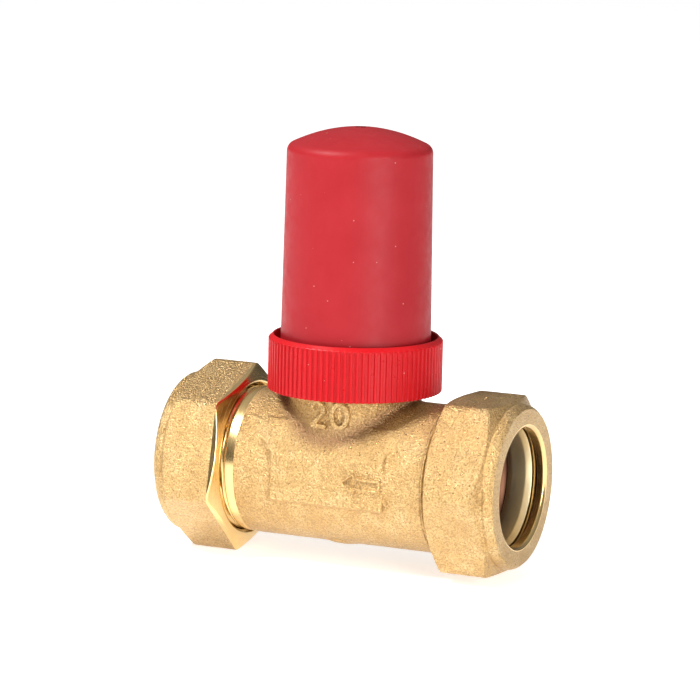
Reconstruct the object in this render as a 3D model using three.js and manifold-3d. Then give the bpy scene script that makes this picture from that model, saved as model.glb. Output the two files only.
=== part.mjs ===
// Straight DN20 lockshield valve with 22 mm compression ends.
// Millimetres. X runs along the barrel, Z runs up the spindle, and the origin lies under the
// spindle on the plane that the nuts stand on.
import * as THREE from "three";
import { mergeVertices, toCreasedNormals } from "three/addons/utils/BufferGeometryUtils.js";
import { ConvexGeometry } from "three/addons/geometries/ConvexGeometry.js";
import Module from "manifold-3d";

const wasm = await Module();
wasm.setup();

// Driving dimensions
const HALF_LENGTH = 35; // spindle axis to the end face of either nut
const AXIS_Z = 17.86; // height of the barrel axis over the plane that the nuts stand on
const FIT = 0.3; // clearance between pieces that screw or slide together
const ROUND = 36; // facets round a full turn
const FINE = 24; // the same on small pieces and inside bores

const TUBE_BORE = 11.15; // radius that takes a 22 mm copper tube
const BARREL_R = 14.1;
const THREAD_R = 13.8; // crest radius of the male compression thread
const BOSS_R = 12.35;
const CROWN_R = 15.1; // threaded crown at the top of the boss
const CROWN_TOP = 19.6; // above the barrel axis, as every height below
const HEADWORK_R = 10; // bore of the boss that the headwork screws into
const SEAT_R = 6.75;
const SEAT_TOP = 1;

const NUT_INNER = 21; // spindle axis to the inner face of a nut
const NUT_AF = 32; // across flats
const NUT_CORNER_R = 18.2;

const RING_R = 16.53;
const RING_BOTTOM = 15.55;
const RING_TOP = 25.9;
const RING_RIBS = 90;

const HOOD_FOOT_R = 14.25;
const HOOD_SHOULDER_R = 13.74;
const HOOD_SHOULDER_Z = 60.6;
const HOOD_SHOULDER_ROUND = 1.8;
const HOOD_TOP = 65.3;
const HOOD_WALL = 1.8;

const SPINDLE_R = 4;
const SPINDLE_TOP = 52;
const STUFFING_R = 6;

const COLOURS = {
  forged: [0xc8a569, 0.5, 0.85],
  machined: [0xd9b25a, 0.25, 0.95],
  seat: [0x2a2a2c, 0.8, 0],
  packing: [0x55524d, 0.75, 0],
  fibre: [0x9c4a3a, 0.85, 0],
  hood: [0xb9373c, 0.6, 0],
  ring: [0xcd2328, 0.45, 0],
};

// Solids
const UP = new THREE.Matrix4().makeRotationX(Math.PI / 2);
const toX = (side) => new THREE.Matrix4().makeRotationY((side * Math.PI) / 2);

function solid(geometry) {
  const bare = geometry.index ? geometry.toNonIndexed() : geometry.clone();
  bare.deleteAttribute("normal");
  bare.deleteAttribute("uv");
  const merged = mergeVertices(bare, 1e-4);
  return new wasm.Manifold(
    new wasm.Mesh({
      numProp: 3,
      vertProperties: new Float32Array(merged.attributes.position.array),
      triVerts: new Uint32Array(merged.index.array),
    }),
  );
}

function geometryOf(body) {
  const mesh = body.getMesh();
  const geometry = new THREE.BufferGeometry();
  geometry.setAttribute("position", new THREE.BufferAttribute(mesh.vertProperties, 3));
  geometry.setIndex(new THREE.BufferAttribute(mesh.triVerts, 1));
  return toCreasedNormals(geometry, Math.PI / 6);
}

const points = (list) => list.map(([r, h]) => new THREE.Vector2(r, h));

// A profile of [radius, height] pairs, listed upwards on its outside, turned about Z.
function turned(profile, segments = ROUND) {
  return new THREE.LatheGeometry(points(profile), segments).applyMatrix4(UP);
}

// The same about X: the heights run outwards from the spindle, on the side of +X or -X.
function turnedAlongX(profile, side, segments = ROUND) {
  return turned(profile, segments).applyMatrix4(toX(side));
}

function cylinder(radius, low, high, segments = ROUND) {
  return turned([[0, low], [radius, low], [radius, high], [0, high]], segments);
}

function tube(inner, outer, low, high, segments = ROUND) {
  const profile = [[inner, low], [outer, low], [outer, high], [inner, high], [inner, low]];
  return turned(profile, segments);
}

function box(x, y, z, cx, cy, cz) {
  return new THREE.BoxGeometry(x, y, z).translate(cx, cy, cz);
}

function hexagon(acrossFlats, low, high, turn = 0) {
  const radius = acrossFlats / Math.sqrt(3);
  const prism = new THREE.CylinderGeometry(radius, radius, high - low, 6);
  return prism.applyMatrix4(UP).rotateZ(turn).translate(0, 0, (low + high) / 2);
}

function extruded(shape, depth, curveSegments = 8) {
  return new THREE.ExtrudeGeometry(shape, { depth, bevelEnabled: false, curveSegments });
}

function arc(radius, from, to, steps, centre = [0, 0]) {
  return Array.from({ length: steps + 1 }, (_, i) => {
    const angle = from + ((to - from) * i) / steps;
    return [centre[0] + radius * Math.cos(angle), centre[1] + radius * Math.sin(angle)];
  });
}

// Body: the outside of the forging
function saddleFillet(width, steps = 4, around = ROUND) {
  const surface = (radius, angle) =>
    Math.sqrt(Math.max(BARREL_R ** 2 - (radius * Math.sin(angle)) ** 2, 1));
  const inner = BOSS_R - 1.5;
  const positions = [];
  for (let i = 0; i < around; i += 1) {
    const angle = (2 * Math.PI * i) / around;
    const foot = surface(BOSS_R, angle);
    const reach = BOSS_R + width * (0.45 + 0.55 * Math.cos(angle) ** 2);
    const toe = surface(reach, angle);
    const top = Math.min(foot + width, RING_BOTTOM + 1);
    const section = [[inner, foot - 3], [inner, top]];
    for (let k = 0; k <= steps; k += 1) {
      const t = k / steps;
      const a = (1 - t) ** 2;
      const b = 2 * t * (1 - t);
      const c = t ** 2;
      const wall = BOSS_R - 0.03;
      section.push([(a + b) * wall + c * reach, a * top + b * foot + c * (toe - 0.15)]);
    }
    section.push([reach - 0.4, toe - 1.5]);
    positions.push(section.map(([r, z]) => [r * Math.cos(angle), r * Math.sin(angle), z]));
  }
  const count = positions[0].length;
  const index = [];
  for (let i = 0; i < around; i += 1) {
    for (let k = 0; k < count; k += 1) {
      const a = i * count + k;
      const b = ((i + 1) % around) * count + k;
      const c = i * count + ((k + 1) % count);
      const d = ((i + 1) % around) * count + ((k + 1) % count);
      index.push(a, c, b, b, c, d);
    }
  }
  const geometry = new THREE.BufferGeometry();
  geometry.setAttribute("position", new THREE.Float32BufferAttribute(positions.flat(2), 3));
  geometry.setIndex(index);
  return geometry;
}

// The outlet end is turned back further than the inlet end, which leaves a bright band there.
function barrel() {
  const end = (turnedFrom) => [[BARREL_R, turnedFrom - 0.3], [BARREL_R - 0.1, turnedFrom],
    [BARREL_R - 0.1, 20.4], [THREAD_R, 20.6], [THREAD_R, 26.4], [THREAD_R - 0.6, 27], [0, 27]];
  const outlet = end(18.8).map(([r, x]) => [r, -x]).reverse();
  return turnedAlongX([...outlet, ...end(20.2)], 1);
}

// The flat pad on the front of the barrel, which carries the flow arrow.
const PAD = { face: -14.4, centre: 0.7, length: 24, low: -4.9, high: 5.4 };

function pad() {
  const height = PAD.high - PAD.low;
  return box(PAD.length, 4, height, PAD.centre, PAD.face + 2, (PAD.high + PAD.low) / 2);
}

function onFront(shape, depth, face) {
  return extruded(shape, depth + 1).applyMatrix4(UP).translate(0, face + 1, 0);
}

function arrow() {
  const tip = 4;
  const neck = 6.8;
  const tail = 12;
  const shape = new THREE.Shape();
  const outline = [[tip, 0.3], [neck, -1.6], [neck, -0.7], [tail, -0.7], [tail, 1.3],
    [neck, 1.3], [neck, 2.2]];
  shape.setFromPoints(points(outline));
  const hollow = [[tip + 0.9, 0.3], [neck - 0.5, -0.7], [neck - 0.5, -0.2], [tail - 0.5, -0.2],
    [tail - 0.5, 0.8], [neck - 0.5, 0.8], [neck - 0.5, 1.3]];
  shape.holes.push(new THREE.Path(points(hollow)));
  return onFront(shape, 0.35, PAD.face);
}

// The nominal size in raised figures on the front of the boss.
function figureTwo(left, low) {
  const stroke = 0.8;
  const top = [left + 1.45, low + 3.55];
  const outer = arc(1.45, Math.PI, -0.6, 8, top);
  const inner = arc(1.45 - stroke, -0.6, Math.PI, 8, top);
  const shape = new THREE.Shape(
    points([...outer, [left + 1.2, low + stroke], [left + 2.9, low + stroke], [left + 2.9, low],
      [left, low], [left, low + 0.7], ...inner]),
  );
  return onFront(shape, 0.4, -BOSS_R);
}

function figureNought(left, low) {
  const oval = (rx, ry, clockwise) =>
    new THREE.Path().absellipse(left + 1.7, low + 2.5, rx, ry, 0, 2 * Math.PI, clockwise, 0);
  const shape = new THREE.Shape(oval(1.7, 2.5, false).getPoints(12));
  shape.holes.push(new THREE.Path(oval(0.85, 1.65, true).getPoints(12)));
  return onFront(shape, 0.4, -BOSS_R);
}

// Body: the waterways
function circleAcross(x, z, ry, rz, steps = FINE) {
  return Array.from({ length: steps }, (_, i) => {
    const angle = (2 * Math.PI * i) / steps;
    return new THREE.Vector3(x, ry * Math.cos(angle), z + rz * Math.sin(angle));
  });
}

// From the inlet at +X under the seat.
function inletPassage() {
  return new ConvexGeometry([
    ...circleAcross(14.3, 0, 9.3, 9.3),
    ...circleAcross(9, -6.1, 8.4, 4.5),
    ...circleAcross(-7, -6.1, 6.5, 4),
  ]);
}

// From over the seat to the outlet at -X.
function outletPassage() {
  return new ConvexGeometry([
    ...circleAcross(-14.3, 0, 9.3, 9.3),
    ...circleAcross(-9, 5.2, 8.2, 4.2),
    ...circleAcross(-2, 5.8, 7.6, 3.6),
  ]);
}

function socket(side) {
  return turnedAlongX(
    [[0, 14], [TUBE_BORE, 14], [TUBE_BORE, 25.4], [12.4, 27.2], [0, 27.2]],
    side,
    FINE,
  );
}

function headworkBore() {
  return turned(
    [[0, SEAT_TOP - 0.6], [8.6, SEAT_TOP - 0.6], [9.3, 2.4], [9.3, 11], [HEADWORK_R, 11.8],
      [HEADWORK_R, CROWN_TOP + 1], [0, CROWN_TOP + 1]],
    ROUND,
  );
}

function bodySolid() {
  const boss = turned([[0, 0], [BOSS_R, 0], [BOSS_R, 14.4], [CROWN_R, 16.6],
    [CROWN_R, CROWN_TOP - 0.5], [CROWN_R - 0.5, CROWN_TOP], [0, CROWN_TOP]]);
  const low = -BARREL_R - 0.25;
  const underside = turned([[0, low], [4, low + 0.4], [6, low + 1.2], [6, -10], [0, -10]], FINE);
  const outside = [boss, saddleFillet(2.6), pad(), underside, arrow(), figureTwo(-3.2, 9.8),
    figureNought(0.9, 9.8)];
  const cavities = [socket(1), socket(-1), inletPassage(), outletPassage(), headworkBore(),
    cylinder(SEAT_R, -4, SEAT_TOP + 1, FINE)];
  const blank = outside.reduce((sum, piece) => sum.add(solid(piece)), solid(barrel()));
  const hollow = cavities.reduce((left, piece) => left.subtract(solid(piece)), blank);
  const lip = tube(SEAT_R, SEAT_R + 1.2, SEAT_TOP - 1, SEAT_TOP, FINE);
  return hollow.add(solid(lip));
}

// Compression ends
function nutSolid(side, turn) {
  const rim = 15;
  const outline = solid(turnedAlongX(
    [[0, NUT_INNER], [rim, NUT_INNER], [NUT_CORNER_R, 22.5], [NUT_CORNER_R, 31.4],
      [15.85, 32.8], [15.7, 33.5], [15.35, 34.4], [14.8, HALF_LENGTH], [0, HALF_LENGTH]],
    side,
    60,
  ));
  const flats = hexagon(NUT_AF, NUT_INNER - 1, HALF_LENGTH + 1).applyMatrix4(toX(side));
  flats.rotateX(turn);
  const bore = turnedAlongX(
    [[0, NUT_INNER - 1], [14.8, NUT_INNER - 1], [14.8, NUT_INNER], [THREAD_R + FIT, 21.7],
      [THREAD_R + FIT, 29.4], [13.1, 30.2], [TUBE_BORE + 0.05, 33], [TUBE_BORE + 0.05, 34.6],
      [11.6, HALF_LENGTH], [11.6, HALF_LENGTH + 1], [0, HALF_LENGTH + 1]],
    side,
  );
  return outline.intersect(solid(flats)).subtract(solid(bore));
}

function olive(side) {
  return turnedAlongX(
    [[11.65, 27], [11.95, 27], [12.4, 29.1], [12.4, 29.9], [11.6, 32.1], [11.4, 32.1],
      [11.08, 30.9], [11.08, 28.1], [11.65, 27]],
    side,
  );
}

// Headwork
const HEX_LOW = 20.8;

function headworkSolid() {
  const outside = solid(turned([[0, 12.6], [9.2, 12.6], [9.7, 13.1], [9.7, HEX_LOW + 0.5],
    [8, HEX_LOW + 0.5], [8, 36], [7.6, 36.5], [0, 36.5]]));
  const collar = solid(hexagon(20, HEX_LOW, 28));
  const bore = turned([[0, 12], [6.4, 12], [6.4, 16.2], [5, 17], [5, 28.6], [4.3, 29],
    [4.3, 29.5], [STUFFING_R, 29.5], [STUFFING_R, 37], [0, 37]], FINE);
  return outside.add(collar).subtract(solid(bore));
}

function spindleSolid() {
  const shaft = solid(turned([[0, 6.7], [2.9, 6.7], [2.9, 8.3], [1.9, 8.5], [1.9, 10.3],
    [SPINDLE_R, 10.9], [SPINDLE_R, 16.6], [4.7, 17.2], [4.7, 22], [SPINDLE_R, 22.6],
    [SPINDLE_R, SPINDLE_TOP - 0.8], [3.3, SPINDLE_TOP], [0, SPINDLE_TOP]], FINE));
  const square = 5.8;
  const cut = solid(cylinder(SPINDLE_R + 1, 42, SPINDLE_TOP + 1, FINE))
    .subtract(solid(box(square, square, 14, 0, 0, 48)));
  return shaft.subtract(cut);
}

function packingRing(index) {
  const low = 29.7 + index * 1.6;
  return tube(SPINDLE_R + 0.25, STUFFING_R - 0.25, low, low + 1.4, FINE);
}

function glandFollower() {
  const inner = SPINDLE_R + FIT;
  return turned([[inner, 34.7], [STUFFING_R - FIT, 34.7], [STUFFING_R - FIT, 36.8], [7.4, 36.8],
    [7.4, 37.8], [inner, 37.8], [inner, 34.7]], FINE);
}

function glandNutSolid() {
  const bore = turned([[0, 29], [8.3, 29], [8.3, 38], [SPINDLE_R + 0.4, 38],
    [SPINDLE_R + 0.4, 42], [0, 42]], FINE);
  const chamfer = turned([[0, 31], [11, 31], [11, 39.7], [9.8, 40.6], [0, 40.6]], FINE);
  return solid(hexagon(19, 31, 40.6)).intersect(solid(chamfer)).subtract(solid(bore));
}

// Valve disc: the cup holds the button of the spindle in a slot open to the back.
function discSolid() {
  const outside = solid(turned([[0, -1.9], [1.7, -1.9], [1.7, 3.3], [8.6, 3.3], [8.6, 5],
    [8.1, 5.6], [4.6, 5.6], [4.6, 10], [0, 10]], FINE));
  const slot = (width, low, high) => {
    const round = solid(cylinder(width / 2, low, high, FINE));
    return round.add(solid(box(width, 6, high - low, 0, 3, (low + high) / 2)));
  };
  return outside.subtract(slot(6.4, 6.3, 8.7)).subtract(slot(4.4, 8.6, 10.5));
}

function discNutSolid() {
  return solid(hexagon(5.5, -1.4, 0.5)).subtract(solid(cylinder(2, -2, 2, FINE)));
}

// Hood and its ring
function hood() {
  const round = HOOD_SHOULDER_ROUND;
  const outer = [[HOOD_FOOT_R, 22], [14.22, RING_TOP]];
  for (let i = 0; i <= 3; i += 1) {
    const angle = (i / 3) * 1.1;
    outer.push([
      HOOD_SHOULDER_R - round * (1 - Math.cos(angle)),
      HOOD_SHOULDER_Z + round * Math.sin(angle),
    ]);
  }
  const [edge, edgeZ] = outer[outer.length - 1];
  for (let i = 1; i <= 4; i += 1) {
    const r = edge * (1 - i / 5);
    outer.push([r, edgeZ + (HOOD_TOP - edgeZ) * (1 - (r / edge) ** 2)]);
  }
  outer.push([1.1, HOOD_TOP - 0.02], [1, HOOD_TOP - 0.5], [0, HOOD_TOP - 0.5]);
  const foot = HOOD_FOOT_R - HOOD_WALL;
  const shoulder = HOOD_SHOULDER_R - HOOD_WALL;
  return turned([[0, HOOD_TOP - 2.3], [6, HOOD_TOP - 2.9], [shoulder - 1.2, HOOD_SHOULDER_Z + 0.4],
    [shoulder, HOOD_SHOULDER_Z - 0.8], [foot, 20.8], [CROWN_R, 20.8], [CROWN_R, 22], ...outer]);
}

function ribbedBand() {
  const outline = [];
  for (let i = 0; i < RING_RIBS; i += 1) {
    const angle = (2 * Math.PI * i) / RING_RIBS;
    const step = (2 * Math.PI) / RING_RIBS;
    outline.push([RING_R * Math.cos(angle), RING_R * Math.sin(angle)]);
    for (const offset of [0.27, 0.73]) {
      const at = angle + offset * step;
      outline.push([(RING_R - 0.33) * Math.cos(at), (RING_R - 0.33) * Math.sin(at)]);
    }
  }
  const shape = new THREE.Shape(points(outline));
  return extruded(shape, RING_TOP - RING_BOTTOM - 0.9).translate(0, 0, RING_BOTTOM);
}

function lockRingSolid() {
  const rim = solid(turned([[0, RING_BOTTOM + 2], [RING_R - 0.4, RING_BOTTOM + 2],
    [RING_R - 0.4, RING_TOP - 0.5], [RING_R - 0.75, RING_TOP], [0, RING_TOP]], 60));
  const bore = turned([[0, RING_BOTTOM - 1], [CROWN_R + FIT, RING_BOTTOM - 1],
    [CROWN_R + FIT, 22.3], [14.55, 22.3], [14.55, 23.4], [CROWN_R + FIT, 23.6],
    [CROWN_R + FIT, RING_TOP + 1], [0, RING_TOP + 1]]);
  return solid(ribbedBand()).add(rim).subtract(solid(bore));
}

// Assembly
const valve = new THREE.Group();
valve.name = "lockshield_valve";
valve.position.z = AXIS_Z;

function place(name, shape, finish) {
  const [color, roughness, metalness] = COLOURS[finish];
  const material = new THREE.MeshStandardMaterial({ color, roughness, metalness });
  const geometry = geometryOf(shape.isBufferGeometry ? solid(shape) : shape);
  const mesh = new THREE.Mesh(geometry, material);
  mesh.name = name;
  valve.add(mesh);
}

place("body", bodySolid(), "forged");
for (const [label, side, turn] of [["inlet", 1, 0], ["outlet", -1, -Math.PI / 10]]) {
  place(`${label}_nut`, nutSolid(side, turn), "machined");
  place(`${label}_olive`, olive(side), "machined");
}
place("headwork", headworkSolid(), "machined");
place("headwork_washer", tube(HEADWORK_R, 11.5, CROWN_TOP + 0.1, HEX_LOW - 0.1), "fibre");
place("spindle", spindleSolid(), "machined");
for (let i = 0; i < 3; i += 1) {
  place(`packing_ring_${i + 1}`, packingRing(i), "packing");
}
place("gland_follower", glandFollower(), "machined");
place("gland_nut", glandNutSolid(), "machined");
place("valve_disc", discSolid(), "machined");
place("seat_washer", tube(2, 8.1, SEAT_TOP + 0.1, 3.2, FINE), "seat");
place("backing_washer", tube(2, 3.4, SEAT_TOP - 0.4, SEAT_TOP, FINE), "machined");
place("disc_nut", discNutSolid(), "machined");
place("hood_gasket", tube(13, 14.9, CROWN_TOP + 0.1, 20.7), "seat");
place("hood", hood(), "hood");
place("lock_ring", lockRingSolid(), "ring");

export default valve;
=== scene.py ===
"""The looks of a straight lockshield valve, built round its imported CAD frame.

Lengths are millimetres, and only the placing of points takes them to the frame's metres. Heights
are above the barrel axis, and distances along the barrel are counted outwards from the spindle.
"""

import math

import bmesh
import bpy
import numpy as np
from mathutils import Matrix, Vector


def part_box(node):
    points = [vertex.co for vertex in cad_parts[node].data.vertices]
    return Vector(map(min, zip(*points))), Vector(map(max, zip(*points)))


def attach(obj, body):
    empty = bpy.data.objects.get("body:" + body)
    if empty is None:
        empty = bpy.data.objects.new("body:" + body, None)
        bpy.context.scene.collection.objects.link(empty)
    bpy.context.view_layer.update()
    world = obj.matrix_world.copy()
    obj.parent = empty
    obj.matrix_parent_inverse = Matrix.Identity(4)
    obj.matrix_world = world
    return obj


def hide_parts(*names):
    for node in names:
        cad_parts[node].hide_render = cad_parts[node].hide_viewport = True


MM = 0.001
TURN = 2 * math.pi

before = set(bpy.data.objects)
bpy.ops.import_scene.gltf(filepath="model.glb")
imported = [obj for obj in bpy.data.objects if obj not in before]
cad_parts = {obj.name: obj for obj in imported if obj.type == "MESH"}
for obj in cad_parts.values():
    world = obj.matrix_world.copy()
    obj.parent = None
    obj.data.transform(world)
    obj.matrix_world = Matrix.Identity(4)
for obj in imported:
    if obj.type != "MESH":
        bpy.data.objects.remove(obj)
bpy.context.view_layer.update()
olive_low, olive_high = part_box("inlet_olive")
AXIS = Vector((0, 0, (olive_low.z + olive_high.z) / 2))


def node_box(node):
    """Lowest and highest corners of a CAD node in millimetres, about the barrel axis."""
    low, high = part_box(node)
    return (low - AXIS) / MM, (high - AXIS) / MM


# Driving dimensions, read from the frame
_, body_high = node_box("body")
nut_low, nut_high = node_box("inlet_nut")
ring_low, ring_high = node_box("lock_ring")
_, hood_high = node_box("hood")
_, spindle_high = node_box("spindle")

HALF_LENGTH = nut_high.x
NUT_INNER = nut_low.x
NUT_APOTHEM = nut_high.z
NUT_CORNER_R = nut_high.y
THREAD_END = body_high.x
CROWN_TOP = body_high.z
CROWN_R = body_high.y
RING_R = ring_high.x
RING_BOTTOM = ring_low.z
RING_TOP = ring_high.z
HOOD_TOP = hood_high.z
SPINDLE_TOP = spindle_high.z

# The rest are the CAD part's own values
BARREL_R = 14.1
THREAD_R = 13.8
THREAD_PITCH = 1.5875
BOSS_R = 12.35
PAD_FACE = -14.4
TUBE_BORE = 11.15
HEADWORK_R = 10.0
SEAT_R = 6.75
SEAT_TOP = 1.0
FIT = 0.3
# Where the forging ends and the lathe work begins, on the inlet side and the outlet side
TURNED_FROM = {1: 20.2, -1: 18.8}


# Camera: a long lens, a little to the inlet's side of the front and a little above
AZIMUTH = math.radians(24.56)
ELEVATION = math.radians(9.76)
ROLL = math.radians(1.305)
DISTANCE = 689.6
LENS = 187.4
SIDEWAYS = -1.047
AIM_HEIGHT = 22.83


def camera():
    back = Vector((
        math.sin(AZIMUTH) * math.cos(ELEVATION),
        -math.cos(AZIMUTH) * math.cos(ELEVATION),
        math.sin(ELEVATION),
    ))
    right = Vector((math.cos(AZIMUTH), math.sin(AZIMUTH), 0))
    up = back.cross(right)
    across = right * math.cos(ROLL) + up * math.sin(ROLL)
    upright = up * math.cos(ROLL) - right * math.sin(ROLL)
    aim = AXIS + (right * SIDEWAYS + Vector((0, 0, AIM_HEIGHT))) * MM
    data = bpy.data.cameras.new("camera")
    data.sensor_width = 36
    data.lens = LENS
    data.clip_start = 0.01
    data.clip_end = 20
    made = bpy.data.objects.new("camera", data)
    bpy.context.scene.collection.objects.link(made)
    turn = Matrix((across, upright, back)).transposed().to_4x4()
    made.matrix_world = Matrix.Translation(aim + back * DISTANCE * MM) @ turn
    bpy.context.scene.camera = made


# Materials
class Shader:
    """A material's node tree, with short calls for the nodes that every finish uses."""

    def __init__(self, name, metallic, colour, roughness):
        self.material = bpy.data.materials.new(name)
        self.material.use_nodes = True
        self.tree = self.material.node_tree
        self.bsdf = self.tree.nodes["Principled BSDF"]
        self.bsdf.inputs["Metallic"].default_value = metallic
        self.bsdf.inputs["Base Color"].default_value = (*colour, 1)
        self.bsdf.inputs["Roughness"].default_value = roughness
        self.place = self.tree.nodes.new("ShaderNodeTexCoord").outputs["Object"]
        self.height = None

    def link(self, output, node_input):
        self.tree.links.new(output, node_input)

    def noise(self, size, detail=3, roughness=0.6, distortion=0.0, stretch=None):
        node = self.tree.nodes.new("ShaderNodeTexNoise")
        node.inputs["Scale"].default_value = 1 / (size * MM)
        node.inputs["Detail"].default_value = detail
        node.inputs["Roughness"].default_value = roughness
        node.inputs["Distortion"].default_value = distortion
        place = self.place
        if stretch:
            mapping = self.tree.nodes.new("ShaderNodeMapping")
            mapping.inputs["Scale"].default_value = stretch
            self.link(place, mapping.inputs["Vector"])
            place = mapping.outputs["Vector"]
        self.link(place, node.inputs["Vector"])
        return node.outputs["Fac"]

    def cells(self, size):
        node = self.tree.nodes.new("ShaderNodeTexVoronoi")
        node.inputs["Scale"].default_value = 1 / (size * MM)
        self.link(self.place, node.inputs["Vector"])
        return node.outputs["Distance"]

    def span(self, value, low, high, out_low, out_high):
        node = self.tree.nodes.new("ShaderNodeMapRange")
        limits = (("From Min", low), ("From Max", high), ("To Min", out_low), ("To Max", out_high))
        for name, number in limits:
            node.inputs[name].default_value = number
        self.link(value, node.inputs["Value"])
        return node.outputs["Result"]

    def ramp(self, value, stops):
        node = self.tree.nodes.new("ShaderNodeValToRGB")
        elements = node.color_ramp.elements
        while len(elements) < len(stops):
            elements.new(0.5)
        for element, (position, colour) in zip(elements, stops):
            element.position = position
            element.color = (*colour, 1)
        self.link(value, node.inputs["Fac"])
        return node.outputs["Color"]

    def blend(self, mask, under, over):
        node = self.tree.nodes.new("ShaderNodeMix")
        node.data_type = "RGBA"
        self.link(mask, node.inputs["Factor"])
        for socket, colour in ((node.inputs[6], under), (node.inputs[7], over)):
            if isinstance(colour, tuple):
                socket.default_value = (*colour, 1)
            else:
                self.link(colour, socket)
        return node.outputs[2]

    def math(self, operation, a, b):
        node = self.tree.nodes.new("ShaderNodeMath")
        node.operation = operation
        for socket, value in zip(node.inputs, (a, b)):
            if isinstance(value, (int, float)):
                socket.default_value = value
            else:
                self.link(value, socket)
        return node.outputs["Value"]

    def crease(self, width):
        """Mask for the painted shade in the crease where the boss meets the barrel: how near a
        point is to that line, from 1 down to 0.
        """
        parts = self.tree.nodes.new("ShaderNodeSeparateXYZ")
        self.link(self.place, parts.inputs["Vector"])
        x, y, z = parts.outputs
        z = self.math("SUBTRACT", z, AXIS.z)
        off = []
        for across, radius in ((z, BARREL_R), (x, BOSS_R)):
            squares = self.math("ADD", self.math("MULTIPLY", y, y),
                                self.math("MULTIPLY", across, across))
            from_axis = self.math("POWER", squares, 0.5)
            off.append(self.math("ABSOLUTE", self.math("SUBTRACT", from_axis, radius * MM), 0))
        near = self.span(self.math("ADD", *off), 0.0, width * MM, 0.75, 0.0)
        return self.math("MULTIPLY", near, self.span(z, 3 * MM, 7 * MM, 0.0, 1.0))

    def colour(self, output):
        self.link(output, self.bsdf.inputs["Base Color"])

    def roughness(self, output):
        self.link(output, self.bsdf.inputs["Roughness"])

    def bump(self, output, strength, depth):
        node = self.tree.nodes.new("ShaderNodeBump")
        node.inputs["Strength"].default_value = strength
        node.inputs["Distance"].default_value = depth * MM
        self.link(output, node.inputs["Height"])
        if self.height:
            self.link(self.height, node.inputs["Normal"])
        self.height = node.outputs["Normal"]
        self.link(self.height, self.bsdf.inputs["Normal"])


def forged_brass():
    """Shot-blasted forging: tan and sandy, with painted shade darkening the crease round the foot
    of the boss.
    """
    s = Shader("brass_forged", 0.86, (0.7, 0.48, 0.22), 0.42)
    patina = s.ramp(s.noise(4.5, 4), [
        (0.3, (0.55, 0.345, 0.135)), (0.5, (0.63, 0.42, 0.18)), (0.72, (0.71, 0.51, 0.25))])
    grain = s.noise(0.34, 2, 0.6)
    sand = s.span(grain, 0.36, 0.6, 0.0, 1.0)
    stained = s.blend(s.span(s.noise(1.6, 4), 0.52, 0.74, 0.0, 0.35), patina, (0.42, 0.245, 0.11))
    sandy = s.blend(sand, (0.40, 0.245, 0.095), stained)
    # Painted shade: the colour is darkened in the crease round the foot of the boss.
    s.colour(s.blend(s.crease(2.4), sandy, (0.18, 0.08, 0.05)))
    s.roughness(s.span(s.noise(0.7, 3), 0.3, 0.7, 0.24, 0.42))
    s.bump(grain, 1.0, 0.4)
    s.bump(s.noise(1.1, 3), 0.6, 0.3)
    pit = s.span(s.cells(3.1), 0.0, 0.06, 0.0, 1.0)
    s.bump(pit, 0.35, 0.12)
    return s.material


def turned_brass(name, along, colour=(0.86, 0.61, 0.27), dull=0.15):
    """Brass off the lathe: fine tool marks that run round the given axis."""
    s = Shader(name, 1.0, colour, dull)
    stretch = {"X": (12, 0.15, 0.15), "Z": (0.15, 0.15, 12)}[along]
    marks = s.noise(1.2, 2, 0.5, 0.0, stretch)
    dark = tuple(0.82 * c for c in colour)
    s.colour(s.blend(s.noise(3.5, 4), dark, colour))
    s.roughness(s.span(marks, 0.3, 0.7, dull, dull + 0.13))
    s.bump(marks, 0.22, 0.03)
    s.bump(s.noise(0.35, 3), 0.08, 0.02)
    return s.material


def red_moulding(name, colour, pale, roughness, grain_depth):
    s = Shader(name, 0.0, colour, roughness)
    s.bsdf.inputs["Specular IOR Level"].default_value = 0.16
    worn = s.blend(s.span(s.noise(7, 4), 0.35, 0.75, 0.0, 0.5), colour, pale)
    speck = s.span(s.cells(2.4), 0.035, 0.06, 1.0, 0.0)
    s.colour(s.blend(speck, worn, (0.5, 0.2, 0.18)))
    s.roughness(s.span(s.noise(2.2, 5), 0.3, 0.7, roughness - 0.08, roughness + 0.1))
    s.bump(s.noise(0.3, 2), 0.3, grain_depth)
    s.bump(s.noise(6, 2), 0.12, 0.2)
    return s.material


def soft_ring(name, dark, light, size):
    """Rubber, packing or fibre."""
    s = Shader(name, 0.0, dark, 0.75)
    s.colour(s.blend(s.noise(size, 5), dark, light))
    s.roughness(s.span(s.noise(size * 2, 3), 0.3, 0.7, 0.6, 0.85))
    s.bump(s.noise(size / 2, 4), 0.4, 0.06)
    return s.material


def floor_paint():
    s = Shader("floor_paint", 0.0, (0.9, 0.9, 0.9), 0.6)
    s.bsdf.inputs["Emission Color"].default_value = (1, 1, 1, 1)
    s.bsdf.inputs["Emission Strength"].default_value = 0.62
    s.roughness(s.span(s.noise(9, 3), 0.3, 0.7, 0.5, 0.7))
    return s.material


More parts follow.
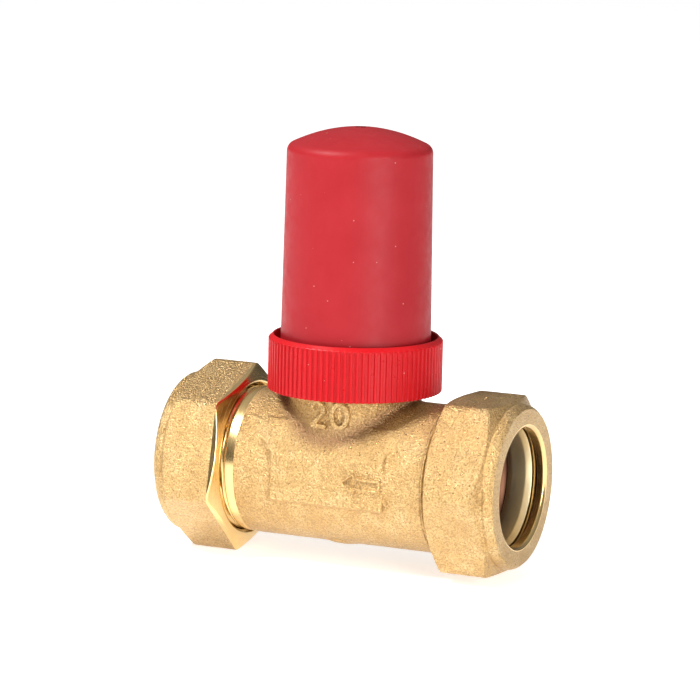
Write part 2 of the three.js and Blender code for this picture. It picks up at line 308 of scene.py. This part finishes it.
MATERIALS = {
    "forged": forged_brass(),
    "turned_x": turned_brass("brass_turned_x", "X"),
    "turned_z": turned_brass("brass_turned_z", "Z"),
    # Paler brass than the other turned parts: painted highlight for the light that falls on the
    # olive through the nut's mouth.
    "olive": turned_brass("brass_olive", "X", (1.0, 0.84, 0.54), 0.34),
    # Near-black brass for the bores and waterways: painted shade for the dark inside the body.
    "bored": turned_brass("brass_bore_painted_shade", "X", (0.13, 0.06, 0.035), 0.42),
    "hood": red_moulding("red_hood", (0.28, 0.010, 0.014), (0.33, 0.018, 0.023), 0.46, 0.03),
    "ring": red_moulding("red_ring", (0.42, 0.004, 0.007), (0.48, 0.01, 0.014), 0.34, 0.015),
    "rubber": soft_ring("seat_rubber", (0.018, 0.018, 0.02), (0.04, 0.04, 0.042), 0.8),
    "packing": soft_ring("packing_graphite", (0.06, 0.056, 0.05), (0.13, 0.12, 0.11), 0.5),
    "fibre": soft_ring("red_fibre", (0.28, 0.07, 0.045), (0.4, 0.13, 0.09), 0.6),
}


# A brass piece's faces carry one of these
BODY_FINISHES = ["forged", "turned_x", "turned_z", "bored"]
# The bored finish is painted shade: near-black brass for the inside of the body.
FORGED, TURNED_X, TURNED_Z, BORE_PAINTED_SHADE = range(4)


# Mesh tools
def mesh_object(name, vertices, faces, finishes, face_finish=None, crease=32):
    """A piece from points in millimetres about the barrel axis, smooth but for its sharp edges."""
    mesh = bpy.data.meshes.new(name)
    placed = np.asarray(vertices, float) * MM + np.array(AXIS)
    mesh.from_pydata(placed.tolist(), [], faces)
    for finish in finishes:
        mesh.materials.append(MATERIALS[finish])
    if face_finish is not None:
        mesh.polygons.foreach_set("material_index", face_finish)
    return smoothed(object_of(name, mesh), crease)


def object_of(name, mesh):
    made = bpy.data.objects.new(name, mesh)
    bpy.context.scene.collection.objects.link(made)
    return made


def smoothed(piece, crease=32):
    mesh = piece.data
    mesh.polygons.foreach_set("use_smooth", [True] * len(mesh.polygons))
    mesh.set_sharp_from_angle(angle=math.radians(crease))
    return piece


def rounded(profile, radius=0.15, steps=3, closed=False):
    """The profile with each corner eased. Its points are (radius, distance, finish)."""
    points = [np.array(p, float) for p in profile]
    count = len(points)
    out = []
    for i, point in enumerate(points):
        if not closed and i in (0, count - 1):
            out.append(point)
            continue
        before = points[i - 1]
        after = points[(i + 1) % count]
        reach_in = np.linalg.norm(before[:2] - point[:2])
        reach_out = np.linalg.norm(after[:2] - point[:2])
        cut = min(radius, 0.4 * reach_in, 0.4 * reach_out)
        start = point + (before - point) * cut / reach_in
        end = point + (after - point) * cut / reach_out
        for k in range(steps + 1):
            t = k / steps
            eased = (1 - t) ** 2 * start + 2 * t * (1 - t) * point + t ** 2 * end
            eased[2] = point[2]
            out.append(eased)
    return out


def dense(profile, step, closed=False):
    """The profile with points added so that none are further apart than step."""
    points = [np.array(p, float) for p in profile]
    out = []
    spans = len(points) if closed else len(points) - 1
    for i in range(spans):
        a = points[i]
        b = points[(i + 1) % len(points)]
        count = max(1, math.ceil(np.linalg.norm((b - a)[:2]) / step))
        for k in range(count):
            out.append(a + (b - a) * k / count)
            out[-1][2] = a[2]
    if not closed:
        out.append(points[-1])
    return out


def turned(name, profile, finishes, along="Z", side=1, around=144, shape=None, closed=False,
           crease=32):
    """A solid of revolution. shape(angle, distance, radius) may move the surface in or out.

    The profile's points are (radius, distance along the axis, finish). It runs up the outside, and
    begins and ends on the axis unless it is closed.
    """
    rows = np.array(profile, float)
    angle = np.arange(around) * TURN / around
    solid_rows = rows if closed else rows[1:-1]
    radius = np.repeat(solid_rows[:, :1], around, axis=1)
    distance = np.repeat(solid_rows[:, 1:2], around, axis=1)
    if shape:
        radius = shape(angle[None, :], distance, radius)
    u = radius * np.cos(angle)
    v = radius * np.sin(angle)
    if along == "Z":
        grid = np.stack([u, v, distance], axis=-1)
    else:
        grid = np.stack([side * distance, -side * v, u], axis=-1)
    vertices = grid.reshape(-1, 3)
    count = len(solid_rows)
    faces = []
    finish = []
    for i in range(count if closed else count - 1):
        low = i * around
        high = ((i + 1) % count) * around
        for j in range(around):
            k = (j + 1) % around
            faces.append((low + j, low + k, high + k, high + j))
        finish += [int(solid_rows[i][2])] * around
    if not closed:
        poles = []
        for row in (rows[0], rows[-1]):
            poles.append((0, 0, row[1]) if along == "Z" else (side * row[1], 0, 0))
        vertices = np.vstack([vertices, poles])
        first = count * around
        top = (count - 1) * around
        for j in range(around):
            k = (j + 1) % around
            faces.append((first, k, j))
            faces.append((first + 1, top + j, top + k))
            finish += [int(rows[0][2]), int(rows[-1][2])]
    return mesh_object(name, vertices, faces, finishes, finish, crease)


def combined(piece, tools, operation, crease=32):
    """piece after a boolean with each tool in turn. The tools are used up."""
    for tool in tools:
        modifier = piece.modifiers.new("combine", "BOOLEAN")
        modifier.operation = operation
        modifier.solver = "MANIFOLD"
        modifier.object = tool
        bake(piece)
        bpy.data.objects.remove(tool)
    return smoothed(piece, crease)


def bake(piece):
    """Applies the piece's modifiers to its mesh."""
    bpy.context.view_layer.update()
    seen = piece.evaluated_get(bpy.context.evaluated_depsgraph_get())
    mesh = bpy.data.meshes.new_from_object(seen)
    piece.modifiers.clear()
    piece.data = mesh
    return piece


def remeshed(piece, voxel, passes):
    """The piece rebuilt as one skin of voxels and then smoothed."""
    remesh = piece.modifiers.new("remesh", "REMESH")
    remesh.mode = "VOXEL"
    remesh.voxel_size = voxel * MM
    remesh.use_smooth_shade = True
    soften = piece.modifiers.new("soften", "SMOOTH")
    soften.factor = 0.5
    soften.iterations = passes
    return bake(piece)


def joined(name, pieces):
    """One object from several, for a remesh to fuse."""
    vertices = []
    faces = []
    for piece in pieces:
        start = len(vertices)
        vertices += [tuple(v.co) for v in piece.data.vertices]
        faces += [tuple(start + i for i in p.vertices) for p in piece.data.polygons]
        bpy.data.objects.remove(piece)
    mesh = bpy.data.meshes.new(name)
    mesh.from_pydata(vertices, [], faces)
    return object_of(name, mesh)


BLOCK_FACES = [(0, 1, 3, 2), (4, 6, 7, 5), (0, 4, 5, 1), (2, 3, 7, 6), (0, 2, 6, 4), (1, 5, 7, 3)]


def slab(name, face, back):
    """A block with sloping sides between two upright rectangles (x, x, y, z, z)."""
    corners = [(r[i], r[2], r[3 + k]) for i in (0, 1) for r in (face, back) for k in (0, 1)]
    return mesh_object(name, corners, BLOCK_FACES, ["forged"])


def soft_min(a, b, width):
    blend = np.maximum(width - np.abs(a - b), 0) / width
    return np.minimum(a, b) - blend ** 2 * width / 4


def hexagonal(apothem, corner, turn, ease):
    """A shape for turned() that cuts six flats, with a corner on the angle turn."""
    def shape(angle, distance, radius):
        from_flat = np.mod(angle - turn, TURN / 6) - TURN / 12
        flats = soft_min(apothem / np.cos(from_flat), corner + 0 * from_flat, ease)
        return soft_min(radius, flats + 0 * radius, ease)
    return shape


def threaded(low, high, pitch, depth, inward=False):
    """A shape for turned() that cuts a right-hand thread between two distances."""
    def shape(angle, distance, radius):
        phase = np.mod(distance / pitch - angle / TURN, 1)
        groove = np.clip(1.25 * np.abs(2 * phase - 1) - 0.12, 0, 1)
        fade = np.clip((distance - low) / 0.4, 0, 1) * np.clip((high - distance) / 0.4, 0, 1)
        cut = depth * groove * fade
        return radius + cut if inward else radius - cut
    return shape


def on_rim(shape, limit):
    """Only the surface outside the limiting radius takes the shape."""
    def limited(angle, distance, radius):
        return np.where(radius > limit, shape(angle, distance, radius), radius)
    return limited


def band(shape, low, high):
    """Only the surface between two radii takes the shape."""
    def limited(angle, distance, radius):
        inside = (radius > low) & (radius < high)
        return np.where(inside, shape(angle, distance, radius), radius)
    return limited


def unevenness(depth):
    """A shape for turned() that dips up to depth below the true surface, as a forging does."""
    def shape(angle, distance, radius):
        wave = np.sin(5 * angle + 0.9 * distance) * np.sin(0.8 * distance + 3 * angle)
        wave = wave + 0.5 * np.sin(17 * angle - 1.7 * distance)
        return radius - depth * (1.5 + wave) / 3
    return shape


def both(first, second):
    """The two shapes, one after the other."""
    def shape(angle, distance, radius):
        return second(angle, distance, first(angle, distance, radius))
    return shape


def marked(points, finish=FORGED):
    """Profile points that all carry one finish."""
    return [(r, d, finish) for r, d in points]


def fitted(piece, node, body):
    """Says which CAD node a piece stands for, and what it rides on."""
    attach(piece, body)
    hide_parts(node)
    return piece


# Body
# Vertices nearer the viewer than this are on the front of the forging
FRONT_Y = -8
MARK_SLOPE = 0.16


def forging():
    """The rough outside: barrel, boss and skirt run together, then the pad stands on it."""
    reach = THREAD_END
    barrel = turned("barrel", dense(marked([(0, -reach), (BARREL_R, -reach), (BARREL_R, reach),
                    (0, reach)]), 1.0), ["forged"], "X", around=180)
    boss = turned("boss", dense(marked([(0, 0), (BOSS_R, 0), (BOSS_R, 14.6), (15.0, 17.2),
                  (15.0, 19), (0, 19)]), 1.0), ["forged"], around=180)
    skin = remeshed(joined("skin", [barrel, boss]), 0.3, 34)
    pad = slab("pad", (-10.4, 12.6, PAD_FACE, -4.6, 4.8), (-18, 12.9, -10, -5.8, 10.5))
    base = -BARREL_R - 0.22
    knob = turned("knob", marked([(0, base), (4, base + 0.4), (6, base + 1.2), (6, -9), (0, -9)]),
                  ["forged"], around=96)
    skin = remeshed(joined("skin", [skin, pad, knob]), 0.2, 18)
    raise_marks(skin)
    dent(skin)
    skin.data.materials.clear()
    for finish in BODY_FINISHES:
        skin.data.materials.append(MATERIALS[finish])
    ends = (0.3 - TURNED_FROM[-1], TURNED_FROM[1] - 0.3)
    trim = slab("trim", (*ends, -30, -30, 16.9), (*ends, 30, -30, 16.9))
    return combined(skin, [trim], "INTERSECT")


def arc_points(centre, radius_x, radius_z, start, end, count):
    steps = np.linspace(math.radians(start), math.radians(end), count)
    return [(centre[0] + radius_x * math.cos(a), centre[1] + radius_z * math.sin(a)) for a in steps]


def strokes():
    """The centre lines of the raised marks on the front: flow arrow, 2 and 0."""
    arrow = [(12, 1.2), (7, 1.3), (6.6, 2.1), (4.2, 0.35), (6.6, -1.5), (7, -0.7),
             (12, -0.6), (12, 1.2)]
    two = arc_points((-1.75, 13.3), 1.3, 1.4, 165, -35, 12) + [(-3.0, 10.2), (-0.3, 10.2)]
    nought = arc_points((2.7, 12.4), 1.45, 2.2, 0, 360, 25)
    return arrow, two, nought


def distance_to(line, x, z):
    best = np.full(len(x), 1e9)
    for (ax, az), (bx, bz) in zip(line[:-1], line[1:]):
        length = (bx - ax) ** 2 + (bz - az) ** 2
        t = np.clip(((x - ax) * (bx - ax) + (z - az) * (bz - az)) / length, 0, 1)
        best = np.minimum(best, np.hypot(x - ax - t * (bx - ax), z - az - t * (bz - az)))
    return best


def coordinates(piece):
    """The piece's vertices in millimetres about the barrel axis."""
    flat = np.empty(len(piece.data.vertices) * 3)
    piece.data.vertices.foreach_get("co", flat)
    return (flat.reshape(-1, 3) - np.array(AXIS)) / MM


def set_coordinates(piece, points):
    piece.data.vertices.foreach_set("co", (points * MM + np.array(AXIS)).ravel())
    piece.data.update()


def refined(piece, near):
    """Cuts the piece's faces finer wherever near(points) is true."""
    mesh = bmesh.new()
    mesh.from_mesh(piece.data)
    mesh.verts.ensure_lookup_table()
    chosen = near(coordinates(piece))
    edges = [e for e in mesh.edges if chosen[e.verts[0].index] and chosen[e.verts[1].index]]
    bmesh.ops.subdivide_edges(mesh, edges=edges, cuts=3, use_grid_fill=True)
    mesh.to_mesh(piece.data)
    mesh.free()


def raise_marks(skin):
    """Raises the arrow's outline and the figures, with steep sides and flat tops."""
    arrow, two, nought = strokes()
    marks = ((arrow, 0.2, 0.45), (two, 0.36, 0.7), (nought, 0.36, 0.7))

    def near(points):
        away = [distance_to(line, points[:, 0], points[:, 2]) for line, _, _ in marks]
        return (points[:, 1] < FRONT_Y) & (np.minimum.reduce(away) < 0.9)

    refined(skin, near)
    points = coordinates(skin)
    front = points[:, 1] < FRONT_Y
    for line, width, height in marks:
        away = distance_to(line, points[:, 0], points[:, 2])
        rise = np.clip((width + MARK_SLOPE - away) / MARK_SLOPE, 0, 1)
        points[:, 1] -= np.where(front, height * rise * rise * (3 - 2 * rise), 0)
    set_coordinates(skin, points)


def dent(skin):
    """Slow unevenness and a few small pits, as a hot forging has."""
    points = coordinates(skin)
    x, y, z = points.T
    wave = np.sin(0.9 * x + 1.3 * np.sin(0.7 * z)) * np.sin(0.8 * z + 0.6 * y + 1.1)
    wave += 0.6 * np.sin(2.1 * x + 1.7 * y) * np.sin(1.9 * z - 0.8 * x)
    length = np.maximum(np.linalg.norm(points, axis=1), 1)
    points *= (1 - 0.022 * (1 + wave) / length)[:, None]
    pits = ((-4.1, 3.7, 0.25), (-0.4, 2.1, 0.2), (-4.2, -1.5, 0.12), (9.3, -4.4, 0.15))
    for px, pz, depth in pits:
        away = np.hypot(x - px, z - pz)
        hole = depth * np.exp(-((away / 0.22) ** 2))
        points[:, 1] += np.where(y < FRONT_Y, hole, 0)
    set_coordinates(skin, points)


def spigot(side):
    """The turned end: a band, rough at the inlet and bright at the outlet, then the thread."""
    start = TURNED_FROM[side] - 0.6
    root = BARREL_R - 0.12
    crest = THREAD_R - 0.02
    band_end = 20.3
    band_finish = FORGED if side == 1 else TURNED_X
    profile = [
        (0, start, TURNED_X), (root, start, band_finish), (root, band_end, band_finish),
        (THREAD_R - 0.15, 20.5, TURNED_X), (crest, 20.7, TURNED_X), (crest, 26.4, TURNED_X),
        (THREAD_R - 0.7, THREAD_END, TURNED_X), (0, THREAD_END, TURNED_X),
    ]
    shape = threaded(20.6, 27.2, THREAD_PITCH, 0.85)
    return turned("spigot", dense(rounded(profile, 0.08), 0.16), BODY_FINISHES,
                  "X", side, 144, on_rim(shape, 12.5))


def crown():
    """The top of the boss, with the thread that the lock ring turns on."""
    profile = marked([(0, 16.6), (CROWN_R, 16.65), (CROWN_R, CROWN_TOP - 0.5),
                      (CROWN_R - 0.5, CROWN_TOP), (0, CROWN_TOP)], TURNED_Z)
    shape = on_rim(threaded(16.7, CROWN_TOP - 0.2, 2.0, 0.6), 14)
    return turned("crown", dense(rounded(profile, 0.1), 0.2), BODY_FINISHES,
                  around=180, shape=shape)


def passage(name, sections):
    """A waterway: the hull of ellipses across the barrel, each (x, z, half width, half height)."""
    vertices = []
    for x, z, width, height in sections:
        for k in range(64):
            a = TURN * k / 64
            vertices.append((x, width * math.cos(a), z + height * math.sin(a)))
    made = mesh_object(name, vertices, [], BODY_FINISHES)
    mesh = bmesh.new()
    mesh.from_mesh(made.data)
    hull = bmesh.ops.convex_hull(mesh, input=mesh.verts)
    unused = [e for e in hull["geom_interior"] + hull["geom_unused"]
              if isinstance(e, bmesh.types.BMVert)]
    bmesh.ops.delete(mesh, geom=list(set(unused)), context="VERTS")
    for face in mesh.faces:
        face.material_index = BORE_PAINTED_SHADE
    mesh.to_mesh(made.data)
    mesh.free()
    return made


def socket(side):
    """The tube's bore in one end of the body, with the olive's cone at its mouth."""
    profile = [(0, 13.9, BORE_PAINTED_SHADE), (TUBE_BORE, 13.9, BORE_PAINTED_SHADE), (TUBE_BORE, 25.4, BORE_PAINTED_SHADE),
               (12.55, 27.4, TURNED_X), (0, 27.4, TURNED_X)]
    return turned("socket", dense(rounded(profile, 0.1), 1), BODY_FINISHES,
                  "X", side, 144)


def bore(name, points):
    return turned(name, dense(rounded(marked(points, TURNED_Z), 0.1), 1), BODY_FINISHES)


def body():
    piece = combined(forging(), [spigot(1), spigot(-1), crown()], "UNION")
    cavities = [
        socket(1), socket(-1),
        passage("inlet", [(14.3, 0, 9.3, 9.3), (9, -6.1, 8.4, 4.5), (-7, -6.1, 6.5, 4)]),
        passage("outlet", [(-14.3, 0, 9.3, 9.3), (-9, 5.2, 8.2, 4.2), (-2, 5.8, 7.6, 3.6)]),
        bore("headwork_bore", [(0, SEAT_TOP - 0.6), (8.6, SEAT_TOP - 0.6), (9.3, 2.4), (9.3, 11),
             (HEADWORK_R, 11.8), (HEADWORK_R, 30), (0, 30)]),
        bore("seat_bore", [(0, -4), (SEAT_R, -4), (SEAT_R, 3), (0, 3)]),
    ]
    piece = combined(piece, cavities, "DIFFERENCE")
    lip = rounded(marked([(SEAT_R, -0.6), (SEAT_R + 1.2, -0.6), (SEAT_R + 1.2, SEAT_TOP),
                  (SEAT_R, SEAT_TOP)], TURNED_Z), 0.15, closed=True)
    seat = turned("seat", lip, BODY_FINISHES, closed=True)
    piece = combined(piece, [seat], "UNION", 28)
    piece.name = "valve_forging"
    return fitted(piece, "body", "valve_body")


# Compression ends
def nut(end, side, turn):
    """A hexagonal nut, forged outside and turned inside. The chamfer is bright at the outlet."""
    inside = THREAD_R + FIT
    past_corner = NUT_CORNER_R + 0.2
    mouth = TUBE_BORE + 0.05
    chamfer = FORGED if side == 1 else TURNED_X
    profile = [(14.9, NUT_INNER, chamfer)]
    profile += marked([(past_corner, 22.55), (past_corner, 31.3), (15.65, 32.75), (15.5, 32.95),
                       (15.6, 33.5), (15.35, 34.4), (14.8, HALF_LENGTH)], FORGED)
    profile += marked([(11.75, HALF_LENGTH), (mouth, 34.55), (mouth, 33), (13.1, 30.2),
                       (inside + 0.1, 29.4), (inside, 21.8), (14.6, NUT_INNER)], TURNED_X)
    outline = dense(rounded(profile, 0.16, closed=True), 0.17, closed=True)
    flats = on_rim(hexagonal(NUT_APOTHEM, NUT_CORNER_R, turn, 0.35), 14.65)
    thread = band(threaded(21.9, 29.2, THREAD_PITCH, 0.45, True), inside - 0.2, inside + 0.2)
    rough = on_rim(unevenness(0.05), 14.9)
    made = turned(f"{end}_compression_nut", outline, ["forged", "turned_x"], "X", side, 360,
                  both(both(flats, thread), rough), closed=True, crease=24)
    return fitted(made, f"{end}_nut", f"{end}_nut")


def olive(end, side):
    profile = marked([(11.65, 27), (11.95, 27), (12.4, 29.1), (12.4, 29.9), (11.6, 32.1),
                      (11.42, 32.1), (11.1, 30.9), (11.1, 28.1)])
    made = turned(f"{end}_brass_olive", rounded(profile, 0.2, closed=True), ["olive"], "X", side,
                  144, closed=True)
    return fitted(made, f"{end}_olive", f"{end}_olive")


# Headwork
def headwork():
    profile = marked([
        (5, 17), (6.4, 16.2), (6.4, 12.6), (9.2, 12.6), (9.7, 13.1), (9.7, 20.7), (11.6, 20.8),
        (11.6, 27.5), (10.6, 28), (8, 28.05), (8, 36), (7.6, 36.5), (6, 36.5), (6, 29.5),
        (4.3, 29.5), (4.3, 29), (5, 28.6)])
    outline = dense(rounded(profile, 0.12, closed=True), 0.2, closed=True)
    flats = on_rim(hexagonal(10, 11.55, math.pi / 6, 0.2), 9.8)
    lower = band(threaded(13, 20, 1.5, 0.55), 9.5, 9.75)
    upper = band(threaded(28.6, 36.2, 1.0, 0.4), 7.9, 8.05)
    made = turned("brass_headwork", outline, ["turned_z"], around=216,
                  shape=both(both(flats, lower), upper), closed=True, crease=30)
    return fitted(made, "headwork", "valve_body")


def spindle():
    top = SPINDLE_TOP
    profile = marked([
        (0, 6.7), (2.9, 6.7), (2.9, 8.3), (1.9, 8.5), (1.9, 10.3), (4, 10.9), (4, 16.6),
        (4.7, 17.2), (4.7, 22), (4, 22.6), (4, 41.9), (4.001, 42), (4.001, top - 0.8), (3.3, top),
        (0, top)])
    outline = dense(rounded(profile, 0.12), 0.2)
    thread = band(threaded(17, 22.3, 1.5, 0.5), 4.6, 4.75)

    def square(angle, distance, radius):
        from_flat = np.mod(angle, TURN / 4)
        from_flat = np.minimum(from_flat, TURN / 4 - from_flat)
        flats = 2.9 / np.cos(from_flat)
        return np.where(distance > 41.98, np.minimum(radius, flats), radius)

    made = turned("brass_spindle", outline, ["turned_z"], around=144, shape=both(thread, square),
                  crease=26)
    return fitted(made, "spindle", "spindle")


def gland():
    nut_profile = marked([
        (8.3, 31), (10.97, 31), (10.97, 39.9), (9.8, 40.6), (4.4, 40.6), (4.4, 38), (8.3, 38)])
    flats = on_rim(hexagonal(9.5, 10.9, math.pi / 6, 0.2), 9)
    nut_piece = turned("brass_gland_nut", dense(rounded(nut_profile, 0.15, closed=True), 0.2, True),
                       ["turned_z"], around=216, shape=flats, closed=True, crease=30)
    fitted(nut_piece, "gland_nut", "gland_nut")
    follower = marked([(4.3, 34.7), (5.7, 34.7), (5.7, 36.8), (7.4, 36.8), (7.4, 37.8),
                       (4.3, 37.8)])
    made = turned("brass_gland_follower", rounded(follower, 0.12, closed=True), ["turned_z"],
                  closed=True)
    fitted(made, "gland_follower", "gland_follower")


def ring_between(name, node, body_name, finish, inner, outer, ease=0.2):
    """A plain ring on the spindle axis, as high as its CAD node."""
    low, high = node_box(node)
    profile = marked([(inner, low.z), (outer, low.z), (outer, high.z), (inner, high.z)])
    made = turned(name, rounded(profile, ease, 4, closed=True), [finish], closed=True)
    return fitted(made, node, body_name)


def small_rings():
    for i in (1, 2, 3):
        ring_between(f"packing_{i}", f"packing_ring_{i}", "valve_body", "packing", 4.25, 5.75, 0.5)
    ring_between("headwork_fibre_washer", "headwork_washer", "valve_body", "fibre", 10, 11.5)
    ring_between("rubber_seat_washer", "seat_washer", "disc", "rubber", 2, 8.1, 0.35)
    ring_between("brass_backing_washer", "backing_washer", "disc", "turned_z", 2, 3.4, 0.1)
    ring_between("rubber_hood_gasket", "hood_gasket", "gasket", "rubber", 13, 14.9)


def keep_cad(node, finish):
    """A CAD node whose shape is right, with its finish."""
    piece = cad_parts[node]
    piece.data.materials.clear()
    piece.data.materials.append(MATERIALS[finish])


# Hood and lock ring
def hood():
    """A tapering cap with a rounded shoulder, a domed top and a moulding gate at its middle."""
    foot = 14.25
    shoulder = 13.74
    shoulder_z = 60.6
    wall = 1.8
    shoulder_turn = 1.1
    outside = [(foot, 22), (14.22, RING_TOP), (shoulder, shoulder_z)]
    for k in range(1, 9):
        a = shoulder_turn * k / 8
        outside.append((shoulder - wall * (1 - math.cos(a)), shoulder_z + wall * math.sin(a)))
    edge, edge_z = outside[-1]
    for k in range(1, 24):
        r = edge * (1 - k / 25)
        outside.append((r, edge_z + (HOOD_TOP - edge_z) * (1 - (r / edge) ** 2)))
    inside = [(0, HOOD_TOP - 2.3), (6, HOOD_TOP - 2.9),
              (shoulder - wall - 1.2, shoulder_z + 0.4), (shoulder - wall, shoulder_z - 0.8),
              (foot - wall, 20.8), (CROWN_R, 20.8), (CROWN_R, 22)]
    gate = [(1.15, HOOD_TOP - 0.02), (1.05, HOOD_TOP - 0.5), (0.45, HOOD_TOP - 0.5),
            (0.35, HOOD_TOP - 0.12), (0, HOOD_TOP - 0.08)]
    profile = dense(rounded(marked(inside), 0.25) + marked(outside)
                    + rounded(marked(gate), 0.12), 0.8)
    made = turned("red_hood", profile, ["hood"], around=256, crease=40)
    return fitted(made, "hood", "hood")


def lock_ring():
    """The ribbed ring, with the thread that takes the crown of the body."""
    inner = CROWN_R + FIT
    ribs = 90
    depth = 0.34
    profile = marked([
        (inner + 0.1, RING_BOTTOM), (RING_R, RING_BOTTOM), (RING_R, RING_TOP - 0.75),
        (RING_R - 0.45, RING_TOP - 0.35), (RING_R - 0.8, RING_TOP), (inner + 0.15, RING_TOP),
        (inner, RING_TOP - 0.3), (inner, 23.6), (14.55, 23.4), (14.55, 22.3), (inner, 22.3),
        (inner, RING_BOTTOM + 0.3)])
    outline = dense(rounded(profile, 0.12, closed=True), 0.3, closed=True)

    def grip(angle, distance, radius):
        phase = np.abs(np.mod(angle * ribs / TURN + 0.5, 1) - 0.5)
        crest = np.clip((0.27 - phase) / 0.11, 0, 1)
        crest = crest * crest * (3 - 2 * crest)
        fade = np.clip((RING_TOP - 0.62 - distance) / 0.35, 0, 1)
        return radius - depth * (1 - crest) * fade

    thread = band(threaded(RING_BOTTOM + 0.4, 21.8, 2.0, 0.35, True), inner - 0.1, inner + 0.1)
    made = turned("ribbed_lock_ring", outline, ["ring"], around=ribs * 16,
                  shape=both(on_rim(grip, RING_R - 0.9), thread), closed=True, crease=40)
    return fitted(made, "lock_ring", "lock_ring")


# Stage and light
def stage():
    size = 3.0
    mesh = bpy.data.meshes.new("studio_floor")
    corners = [(-size, -size, 0), (size, -size, 0), (size, size, 0), (-size, size, 0)]
    mesh.from_pydata(corners, [], [(0, 1, 2, 3)])
    floor = object_of("studio_floor", mesh)
    mesh.materials.append(floor_paint())


def soft_box(name, place, size, power):
    data = bpy.data.lights.new(name, "AREA")
    data.shape = "RECTANGLE"
    data.size = size[0]
    data.size_y = size[1]
    data.energy = power
    lamp = bpy.data.objects.new(name, data)
    bpy.context.scene.collection.objects.link(lamp)
    lamp.location = place
    aim = AXIS + Vector((0, 0, 0.015))
    lamp.rotation_euler = (Vector(place) - aim).to_track_quat("Z", "Y").to_euler()


def lighting():
    world = bpy.data.worlds.new("studio")
    world.use_nodes = True
    tree = world.node_tree
    background = tree.nodes["Background"]
    background.inputs["Strength"].default_value = 0.5
    direction = tree.nodes.new("ShaderNodeTexCoord").outputs["Generated"]
    split = tree.nodes.new("ShaderNodeSeparateXYZ")
    ramp = tree.nodes.new("ShaderNodeValToRGB")
    tree.links.new(direction, split.inputs["Vector"])
    tree.links.new(split.outputs["Z"], ramp.inputs["Fac"])
    tree.links.new(ramp.outputs["Color"], background.inputs["Color"])
    ramp.color_ramp.elements[0].position = 0.1
    ramp.color_ramp.elements[0].color = (0.16, 0.155, 0.15, 1)
    ramp.color_ramp.elements[1].position = 0.8
    ramp.color_ramp.elements[1].color = (1, 1, 1, 1)
    bpy.context.scene.world = world
    bpy.context.scene.view_settings.view_transform = "Standard"
    soft_box("key", (-0.28, -0.3, 0.55), (0.16, 0.16), 6.2)
    soft_box("side", (0.5, -0.35, 0.14), (0.3, 0.3), 3.2)


camera()
lighting()
stage()
body()
for end, side, turn in (("inlet", 1, math.radians(30)), ("outlet", -1, math.radians(12))):
    nut(end, side, turn)
    olive(end, side)
headwork()
spindle()
gland()
small_rings()
keep_cad("valve_disc", "turned_z")
keep_cad("disc_nut", "turned_z")
hood()
lock_ring()
